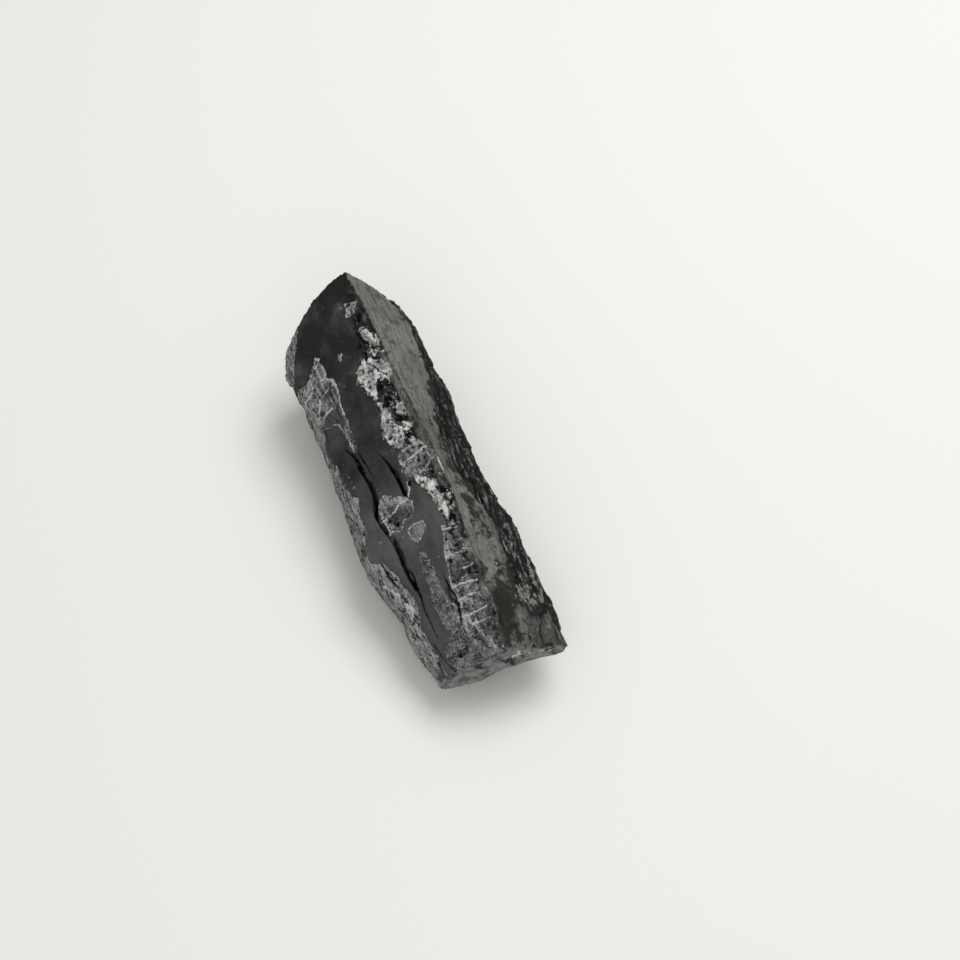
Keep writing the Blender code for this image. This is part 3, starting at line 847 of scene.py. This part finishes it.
def char_material(settings, streaks, edges):
    """Charred wood with its ash, from the marks kept on the lump."""
    material, tree, shader = new_material("charred_wood", 0.8, 0.12)
    place = add_node(tree, "ShaderNodeTexCoord").outputs["Object"]
    fine, broad, thread = (streaked(tree, streaks, place, *grain) for grain in WOOD_STREAKS)
    cloud, blotch, speck = (grain_noise(tree, place, *grain) for grain in WOOD_NOISES)
    own = {name: mark(tree, name) for name in MARKS}
    char_dark, char_light, skin_dim, skin_light, ash_dim, ash_bright = (
        (*getattr(settings, name), 1)
        for name in ("char_dark", "char_light", "skin_dim", "skin_light", "ash_dim", "ash_bright")
    )

    def ragged(name, number):
        """The cover and rim of one kind of surface."""
        return ragged_edge(tree, edges, place, number, *RAGGED[name])

    # bare char, dusted in clouds and specks; its paler share also holds painted light, lighter towards the
    # near end and in a band round along -22
    dust_and_light_share = plus(own["dust"], spread(cloud, 0.3, 0.7, -0.30, 0.30), True)
    colour = layers(mix_colour(dust_and_light_share, char_dark, char_light), (
        (blotch, 0.50, 0.66, 0.35, (0.022, 0.027, 0.024, 1)),
        (fine, 0.60, 0.78, 0.40, grey(0.014)),
        (speck, 0.60, 0.74, spread(cloud, 0.50, 0.62, 0.0, 0.35), grey(0.12)),
        (cloud, 0.56, 0.66, spread(blotch, 0.42, 0.62, 0.0, 0.60), grey(0.085)),
    ))

    # smooth dusted skin with long streaks, dark smudges and tinted patches
    smudge = plus(own["smudge"], spread(blotch, 0.3, 0.7, -0.45, 0.45))
    smudge = spread(smudge, 0.46, 0.70, 0.0, 0.92)
    skin = layers(skin_dim, (
        (broad, 0.40, 0.60, 1.0, skin_light),
        (own["pale"], 0.0, 1.0, 1.0, skin_light),
        (fine, 0.52, 0.64, spread(own["pale"], 0.0, 1.0, 0.85, 0.51), grey(0.035)),
        (speck, 0.58, 0.68, 0.50, grey(0.30)),
        (broad, 0.53, 0.66, spread(own["pale"], 0.0, 1.0, 0.90, 0.54), grey(0.055)),
        (cloud, 0.48, 0.62, 0.35, grey(0.05)),
        (blotch, 0.55, 0.63, spread(own["pale"], 0.0, 1.0, 0.85, 0.51), (0.032, 0.034, 0.028, 1)),
    ))
    # the near end's lighter skin is partly its own grey and partly painted light, standing in for light
    # falling on it from the front
    end_colour = mix_colour(spread(broad, 0.38, 0.62), grey(0.10), grey(0.24))
    skin = mix_colour(own["end"], skin, end_colour)
    skin = mix_colour(smudge, skin, (0.013, 0.0145, 0.011, 1))
    skin = mix_colour(own["tint"], skin, (0.014, 0.018, 0.0095, 1))
    colour = mix_colour(ragged("skin", own["skin"])[0], colour, skin)

    # torn fibres carry flecks of the same skin, with black patches between them
    flecked = plus(own["torn"], spread(broad, 0.38, 0.62, -0.18, 0.18))
    flecked = plus(flecked, spread(blotch, 0.38, 0.62, -0.24, 0.24))
    flecked = combine("SUBTRACT", flecked, times(own["black"], 0.5))
    fleck = ragged("fleck", flecked)[0]
    fleck_colour = mix_colour(spread(speck, 0.42, 0.58), skin_dim, (0.27, 0.27, 0.25, 1))
    colour = layers(colour, ((own["torn"], 0.0, 0.1, 0.90, (0.007, 0.0075, 0.0065, 1)),))
    colour = mix_colour(fleck, colour, fleck_colour)

    # grey specks
    speckle_colour = layers(grey(0.15), (
        (blotch, 0.42, 0.58, 1.0, grey(0.045)),
        (speck, 0.54, 0.62, 0.60, grey(0.32)),
        (speck, 0.46, 0.38, 0.60, grey(0.022)),
        (smudge, 0.0, 1.0, 0.60, grey(0.022)),
    ))
    colour = mix_colour(ragged("speckle", own["speckle"])[0], colour, speckle_colour)

    # thin film of ash: clouded, threaded along the grain and edged with pale flakes
    film, film_rim = ragged("film", own["film"])
    web = combine("SUBTRACT", blotch, 0.5)
    web = add_node(tree, "ShaderNodeMath", {0: web}, operation="ABSOLUTE").outputs[0]
    bare_film = plus(own["smudge"], spread(cloud, 0.42, 0.60, -0.30, 0.36))
    film_colour = layers(grey(0.022), (
        (blotch, 0.42, 0.56, 1.0, ash_dim),
        (thread, 0.53, 0.58, 0.90, grey(0.38)),
        (thread, 0.46, 0.40, 0.80, grey(0.03)),
        (speck, 0.56, 0.63, 0.60, grey(0.42)),
        (web, 0.016, 0.0, 0.80, grey(0.46)),
        (own["tint"], 0.0, 1.0, 0.75, (0.16, 0.185, 0.17, 1)),
        (bare_film, 0.3, 0.8, 0.85, grey(0.036)),
    ))
    colour = mix_colour(times(film, 0.92), colour, film_colour)
    flake = times(film_rim, spread(blotch, 0.40, 0.52, 0.15, 1.0))
    colour = layers(colour, ((speck, 0.44, 0.54, flake, grey(0.52)),))

    # white lines, the painted highlight of glints along the crest, and thick white ash
    line = combine("SUBTRACT", own["line"], spread(blotch, 0.40, 0.62, 0.28, -0.08))
    line = ragged("line", line)[0]
    colour = mix_colour(times(line, 0.9), colour, grey(0.5))
    ash = ragged("white", own["white"])[0]
    ash_colour = layers(ash_bright, (
        (blotch, 0.44, 0.58, 1.0, ash_dim),
        (speck, 0.58, 0.66, 0.80, grey(0.06)),
    ))
    colour = mix_colour(ash, colour, ash_colour)

    # painted shade: hollows, holes and the mouths of cracks are painted near black; painted highlight: crests
    # are painted paler
    hole = ragged("hole", own["hole"])[0]
    shade_weight = combine("MAXIMUM", own["fibre"], 0.35)
    painted_shade = times(spread(own["hollow"], 0.53, 0.74, 0.0, 0.92), shade_weight)
    painted_shade = combine("MAXIMUM", painted_shade, hole)
    colour = mix_colour(painted_shade, colour, (0.0035, 0.0035, 0.003, 1))
    # painted highlight: convex crests of the relief are painted paler
    painted_crest_highlight = times(own["fibre"], spread(blotch, 0.44, 0.56, 0.0, 0.6))
    colour = layers(colour, ((own["hollow"], 0.46, 0.20, painted_crest_highlight, grey(0.27)),))

    dull = spread(combine("MAXIMUM", ash, film), 0.0, 1.0, 0.68, 0.95)
    height = 0.0
    for value, share in ((fine, 0.5), (speck, 0.5), (ash, 0.9), (fleck, 0.5), (hole, -0.9)):
        height = plus(height, times(value, share))
    dress(tree, shader, colour, dull, height, 0.6, 0.0003)
    return material


def ash_material(settings, streaks):
    """Loose ash: pale, dusty, grey in places."""
    material, tree, shader = new_material("loose_ash", 0.95, 0.1)
    place = add_node(tree, "ShaderNodeTexCoord").outputs["Object"]
    grime = streaked(tree, streaks, place, 420.0, 1.0)
    colour = layers((*settings.ash_bright, 1), ((grime, 0.40, 0.58, 1.0, grey(0.12)),))
    dull = spread(grime, 0.3, 0.7, 0.98, 0.88)
    dress(tree, shader, colour, dull, grain_noise(tree, place, 2600.0, 2.0), 0.5, 0.0002)
    return material


def splinter_material(settings, streaks):
    """Torn fibres of char, some dusted."""
    material, tree, shader = new_material("torn_fibre", 0.8, 0.12)
    place = add_node(tree, "ShaderNodeTexCoord").outputs["Object"]
    dusted = streaked(tree, streaks, place, 300.0, 0.3)
    colour = layers((*settings.char_dark, 1), ((dusted, 0.46, 0.6, 1.0, (*settings.skin_dim, 1)),))
    dress(tree, shader, colour, spread(dusted, 0.3, 0.7, 0.7, 0.9), dusted, 0.4, 0.0002)
    return material


# Loose grains and fibres, spread over the lump by Geometry Nodes

def scatter_tree(name, shape):
    """A tree that strews a small shape over a surface where a named mark says, laid along it."""
    tree, enter, leave = new_group(
        name, "GeometryNodeTree",
        (
            ("Geometry", "NodeSocketGeometry", None), ("Mark", "NodeSocketString", "crumbs"),
            ("Density", "NodeSocketFloat", 1.0e6), ("Smallest", "NodeSocketVector", (0.0003,) * 3),
            ("Largest", "NodeSocketVector", (0.0008,) * 3), ("Lean", "NodeSocketVector", (3.14, 3.14, 3.14)),
            ("Sink", "NodeSocketFloat", 0.0002), ("Roughness", "NodeSocketFloat", 0.0002),
            ("Seed", "NodeSocketInt", 5), ("Finish", "NodeSocketMaterial", None),
        ),
        (("Geometry", "NodeSocketGeometry"),),
    )
    give = enter.outputs
    amount = add_node(tree, "GeometryNodeInputNamedAttribute", {"Name": give["Mark"]}, data_type="FLOAT")
    crowd = times(amount.outputs["Attribute"], give["Density"])
    strew = add_node(
        tree, "GeometryNodeDistributePointsOnFaces",
        {"Mesh": give["Geometry"], "Density": crowd, "Seed": give["Seed"]}, distribute_method="RANDOM",
    )
    down = times(give["Sink"], -1.0)
    shift = combine_vectors("SCALE", strew.outputs["Normal"], {"Scale": down})
    sunk = add_node(tree, "GeometryNodeSetPosition", {"Geometry": strew.outputs["Points"], "Offset": shift})
    size = add_node(
        tree, "FunctionNodeRandomValue", {0: give["Smallest"], 1: give["Largest"], "Seed": give["Seed"]},
        data_type="FLOAT_VECTOR",
    )
    least = combine_vectors("SCALE", give["Lean"], {"Scale": -1.0})
    turn = add_node(
        tree, "FunctionNodeRandomValue", {0: least, 1: give["Lean"], "Seed": 77}, data_type="FLOAT_VECTOR",
    )
    laid = add_node(tree, "FunctionNodeAlignRotationToVector", {"Vector": strew.outputs["Normal"]}, axis="Z")
    turned = add_node(
        tree, "FunctionNodeRotateRotation", {"Rotation": laid.outputs[0], "Rotate By": turn.outputs[0]},
        rotation_space="LOCAL",
    )
    placed = add_node(
        tree, "GeometryNodeInstanceOnPoints",
        {
            "Points": sunk.outputs[0], "Instance": shape(tree), "Rotation": turned.outputs[0],
            "Scale": size.outputs[0],
        },
    )
    real = add_node(tree, "GeometryNodeRealizeInstances", {"Geometry": placed.outputs[0]})
    noise = add_node(tree, "ShaderNodeTexNoise", {"Scale": 2100.0, "Detail": 1.0}).outputs["Color"]
    centred = combine_vectors("SUBTRACT", noise, {1: (0.5, 0.5, 0.5)})
    ragged = combine_vectors("SCALE", centred, {"Scale": give["Roughness"]})
    rough = add_node(tree, "GeometryNodeSetPosition", {"Geometry": real.outputs[0], "Offset": ragged})
    finished = add_node(
        tree, "GeometryNodeSetMaterial", {"Geometry": rough.outputs[0], "Material": give["Finish"]},
    )
    tree.links.new(finished.outputs[0], leave.inputs["Geometry"])
    return tree


def crumb_shape(tree):
    """A small round crumb, 1 across."""
    return add_node(tree, "GeometryNodeMeshIcoSphere", {"Radius": 0.5, "Subdivisions": 2}).outputs[0]


def splinter_shape(tree):
    """A thin sliver along Y, 1 long, pointed at one end."""
    cone = add_node(
        tree, "GeometryNodeMeshCone",
        {"Vertices": 4, "Side Segments": 3, "Radius Top": 0.12, "Radius Bottom": 0.5, "Depth": 1.0},
    )
    return add_node(
        tree, "GeometryNodeTransform",
        {"Geometry": cone.outputs[0], "Translation": (0, 0.5, 0), "Rotation": (-math.pi / 2, 0, 0)},
    ).outputs[0]


def strewn(name, body, tree, **values):
    """The grains or fibres that a tree strews over the lump, as one plain mesh."""
    carrier = add_object(name + "_carrier", body.data)
    strew = carrier.modifiers.new("strew", "NODES")
    strew.node_group = tree
    sockets = {item.name: item.identifier for item in tree.interface.items_tree if item.in_out == "INPUT"}
    for label, value in values.items():
        strew[sockets[label]] = value
    data = plain_mesh(carrier, name)
    bpy.data.objects.remove(carrier, do_unlink=True)
    if not data.vertices:
        raise RuntimeError("nothing was strewn for " + name)
    return add_object(name, data)


def declare(item):
    """The piece belongs to the lump."""
    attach(item, ROOT)


# Settings

class LumpSettings(bpy.types.PropertyGroup):
    """Sizes and colours of the lump."""

    net_spacing: bpy.props.FloatProperty(
        name="Net spacing", description="Size of the small quads of the surface", default=0.0005,
        min=0.0004, unit="LENGTH",
    )
    easing: bpy.props.IntProperty(
        name="Easing", description="Rounds of smoothing before the fine relief", default=4, min=0,
    )
    near_hollow: bpy.props.FloatProperty(
        name="Near hollow", description="Depth of the hollow under the near end", default=0.003,
        unit="LENGTH",
    )
    worn_corner: bpy.props.FloatProperty(
        name="Worn corner", description="How far the right corner of the near end is worn back",
        default=0.003, unit="LENGTH",
    )
    flake_depth: bpy.props.FloatProperty(
        name="Flake depth", description="Thickness of the skin that has flaked away", default=0.0003,
        unit="LENGTH",
    )
    char_dark: bpy.props.FloatVectorProperty(
        name="Dark char", description="Colour of the bare char", default=(0.0158, 0.0165, 0.0151),
        subtype="COLOR",
    )
    char_light: bpy.props.FloatVectorProperty(
        name="Light char", description="Colour of the dusted char", default=(0.085, 0.0875, 0.081),
        subtype="COLOR",
    )
    skin_dim: bpy.props.FloatVectorProperty(
        name="Dim skin", description="Darker colour of the dusted skin", default=(0.085, 0.09, 0.078),
        subtype="COLOR",
    )
    skin_light: bpy.props.FloatVectorProperty(
        name="Light skin", description="Lighter colour of the dusted skin", default=(0.175, 0.185, 0.16),
        subtype="COLOR",
    )
    ash_dim: bpy.props.FloatVectorProperty(
        name="Dim ash", description="Colour of thin ash", default=(0.215, 0.22, 0.215), subtype="COLOR",
    )
    ash_bright: bpy.props.FloatVectorProperty(
        name="Bright ash", description="Colour of thick ash", default=(0.64, 0.64, 0.62), subtype="COLOR",
    )


class GrainSettings(bpy.types.PropertyGroup):
    """Sizes of the loose grains and fibres."""

    crumb_density: bpy.props.FloatProperty(
        name="Crumb density", description="Most crumbs of ash in a square metre", default=9.0e5,
    )
    crumb_size: bpy.props.FloatProperty(
        name="Crumb size", description="Width of the largest crumbs", default=0.0013, unit="LENGTH",
    )
    splinter_density: bpy.props.FloatProperty(
        name="Splinter density", description="Most splinters in a square metre", default=1.2e5,
    )
    splinter_length: bpy.props.FloatProperty(
        name="Splinter length", description="Length of the longest splinters", default=0.004, unit="LENGTH",
    )
    seed: bpy.props.IntProperty(name="Seed", description="Start of the random draws", default=5)


class StageSettings(bpy.types.PropertyGroup):
    """Floor, light and camera."""

    floor_colour: bpy.props.FloatVectorProperty(
        name="Floor", description="Colour of the floor", default=(0.86, 0.855, 0.825), subtype="COLOR",
    )
    sky_strength: bpy.props.FloatProperty(
        name="Sky", description="Strength of the even light all round", default=0.46,
    )
    key_power: bpy.props.FloatProperty(
        name="Key light", description="Power of the large soft light above", default=8.8, unit="POWER",
    )
    lens: bpy.props.FloatProperty(
        name="Lens", description="Focal length", default=85.0, subtype="DISTANCE_CAMERA",
    )


# Operators

class CHARCOAL_OT_lump(bpy.types.Operator):
    """Make the body of the lump over its CAD node."""

    bl_idname = "charcoal.lump"
    bl_label = "Make lump"

    def execute(self, context):
        settings = context.scene.charcoal_lump
        body = make_body(settings)
        material = char_material(settings, streak_group(), edge_group())
        body.data.materials.clear()
        body.data.materials.append(material)
        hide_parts(NODE)
        declare(body)
        return {"FINISHED"}


class CHARCOAL_OT_crumbs(bpy.types.Operator):
    """Strew crumbs of ash where the ash is thick."""

    bl_idname = "charcoal.crumbs"
    bl_label = "Strew ash crumbs"

    def execute(self, context):
        grains = context.scene.charcoal_grains
        streaks = bpy.data.node_groups["Grain streaks"]
        size = grains.crumb_size
        crumbs = strewn(
            "ash_crumbs", bpy.data.objects["lump_body"], scatter_tree("Ash crumbs", crumb_shape),
            Mark="crumbs", Density=grains.crumb_density, Smallest=(0.25 * size, 0.25 * size, 0.12 * size),
            Largest=(size, 0.8 * size, 0.4 * size),
            Sink=0.15 * size, Roughness=0.7 * size, Seed=grains.seed,
            Finish=ash_material(context.scene.charcoal_lump, streaks),
        )
        declare(crumbs)
        return {"FINISHED"}


class CHARCOAL_OT_splinters(bpy.types.Operator):
    """Strew torn fibres along the grain of the rough faces."""

    bl_idname = "charcoal.splinters"
    bl_label = "Strew splinters"

    def execute(self, context):
        grains = context.scene.charcoal_grains
        streaks = bpy.data.node_groups["Grain streaks"]
        length = grains.splinter_length
        splinters = strewn(
            "splinters", bpy.data.objects["lump_body"], scatter_tree("Splinters", splinter_shape),
            Mark="splinters", Density=grains.splinter_density, Smallest=(0.0003, 0.3 * length, 0.0002),
            Largest=(0.0009, length, 0.0005), Lean=(0.03, 0.5, 0.08), Sink=0.0002, Roughness=0.0003,
            Seed=grains.seed + 1, Finish=splinter_material(context.scene.charcoal_lump, streaks),
        )
        declare(splinters)
        return {"FINISHED"}


class CHARCOAL_OT_stage(bpy.types.Operator):
    """Make the floor, the light and the camera."""

    bl_idname = "charcoal.stage"
    bl_label = "Set stage"

    def execute(self, context):
        stage = context.scene.charcoal_stage
        make_floor(stage)
        make_lights(stage)
        make_camera(stage)
        context.scene.view_settings.view_transform = "Standard"
        return {"FINISHED"}


def make_floor(stage):
    """A wide pale floor."""
    mesh = bmesh.new()
    bmesh.ops.create_grid(mesh, x_segments=1, y_segments=1, size=4.0)
    data = bpy.data.meshes.new("floor")
    mesh.to_mesh(data)
    mesh.free()
    floor = add_object("floor", data)
    material, tree, shader = new_material("floor_paper", 0.95, 0.0)
    place = add_node(tree, "ShaderNodeTexCoord").outputs["Object"]
    mottle = grain_noise(tree, place, 2.0, 2.0)
    edge = [0.995 * part for part in stage.floor_colour]
    tree.links.new(mix_colour(mottle, (*stage.floor_colour, 1), (*edge, 1)), shader.inputs["Base Color"])
    data.materials.append(material)


# Soft lights: name, place, width and share of the key light's power
LIGHTS = (("key", (0.55, 0.25, 1.1), 0.8, 1.0), ("fill", (-0.5, -0.9, 0.9), 1.2, 0.45))


def make_lights(stage):
    """Even light all round, and large soft lights above."""
    world = bpy.data.worlds.new("studio")
    world.use_nodes = True
    sky = world.node_tree.nodes["Background"]
    sky.inputs["Color"].default_value = (1.0, 1.0, 1.0, 1)
    sky.inputs["Strength"].default_value = stage.sky_strength
    bpy.context.scene.world = world
    for name, spot, size, share in LIGHTS:
        lamp = bpy.data.lights.new(name, "AREA")
        lamp.shape = "SQUARE"
        lamp.size = size
        lamp.energy = share * stage.key_power
        item = add_object(name, lamp)
        item.location = spot
        item.rotation_euler = (-Vector(spot)).to_track_quat("-Z", "Y").to_euler()


CAMERA_RISE = math.radians(58)
CAMERA_TURN = math.radians(22)
CAMERA_AIM = Vector((0.005144, 0.001244, 0.025))
CAMERA_DISTANCE = 0.8554
CAMERA_SIDESTEP = 0.020


def make_camera(stage):
    """The camera, looking down on the lump from its near end."""
    forward = Vector((
        math.sin(CAMERA_TURN) * math.cos(CAMERA_RISE), math.cos(CAMERA_TURN) * math.cos(CAMERA_RISE),
        -math.sin(CAMERA_RISE),
    ))
    right = Vector((math.cos(CAMERA_TURN), -math.sin(CAMERA_TURN), 0))
    lens = bpy.data.cameras.new("camera")
    lens.lens = stage.lens
    lens.sensor_width = 36.0
    camera = add_object("camera", lens)
    camera.location = CAMERA_AIM - forward * CAMERA_DISTANCE + right * CAMERA_SIDESTEP
    camera.rotation_euler = forward.to_track_quat("-Z", "Y").to_euler()
    bpy.context.scene.camera = camera


class CHARCOAL_PT_panel(bpy.types.Panel):
    """The lump's steps and settings."""

    bl_idname = "CHARCOAL_PT_panel"
    bl_label = "Charcoal lump"
    bl_space_type = "VIEW_3D"
    bl_region_type = "UI"
    bl_category = "Charcoal"

    def draw(self, context):
        scene = context.scene
        for settings, steps in (
            (scene.charcoal_lump, ("charcoal.lump",)),
            (scene.charcoal_grains, ("charcoal.crumbs", "charcoal.splinters")),
            (scene.charcoal_stage, ("charcoal.stage",)),
        ):
            box = self.layout.box()
            for step in steps:
                box.operator(step)
            for name in settings.bl_rna.properties.keys():
                if name not in ("rna_type", "name"):
                    box.prop(settings, name)


CLASSES = (
    LumpSettings, GrainSettings, StageSettings, CHARCOAL_OT_lump, CHARCOAL_OT_crumbs, CHARCOAL_OT_splinters,
    CHARCOAL_OT_stage, CHARCOAL_PT_panel,
)


def register():
    """Add the classes and their settings to the scene."""
    for made in CLASSES:
        bpy.utils.register_class(made)
    bpy.types.Scene.charcoal_lump = bpy.props.PointerProperty(type=LumpSettings)
    bpy.types.Scene.charcoal_grains = bpy.props.PointerProperty(type=GrainSettings)
    bpy.types.Scene.charcoal_stage = bpy.props.PointerProperty(type=StageSettings)


def unregister():
    """Take the classes and their settings away."""
    del bpy.types.Scene.charcoal_lump
    del bpy.types.Scene.charcoal_grains
    del bpy.types.Scene.charcoal_stage
    for made in reversed(CLASSES):
        bpy.utils.unregister_class(made)


def main():
    """Make every piece in order."""
    register()
    bpy.ops.charcoal.lump()
    bpy.ops.charcoal.crumbs()
    bpy.ops.charcoal.splinters()
    bpy.ops.charcoal.stage()


if __name__ == "__main__":
    main()
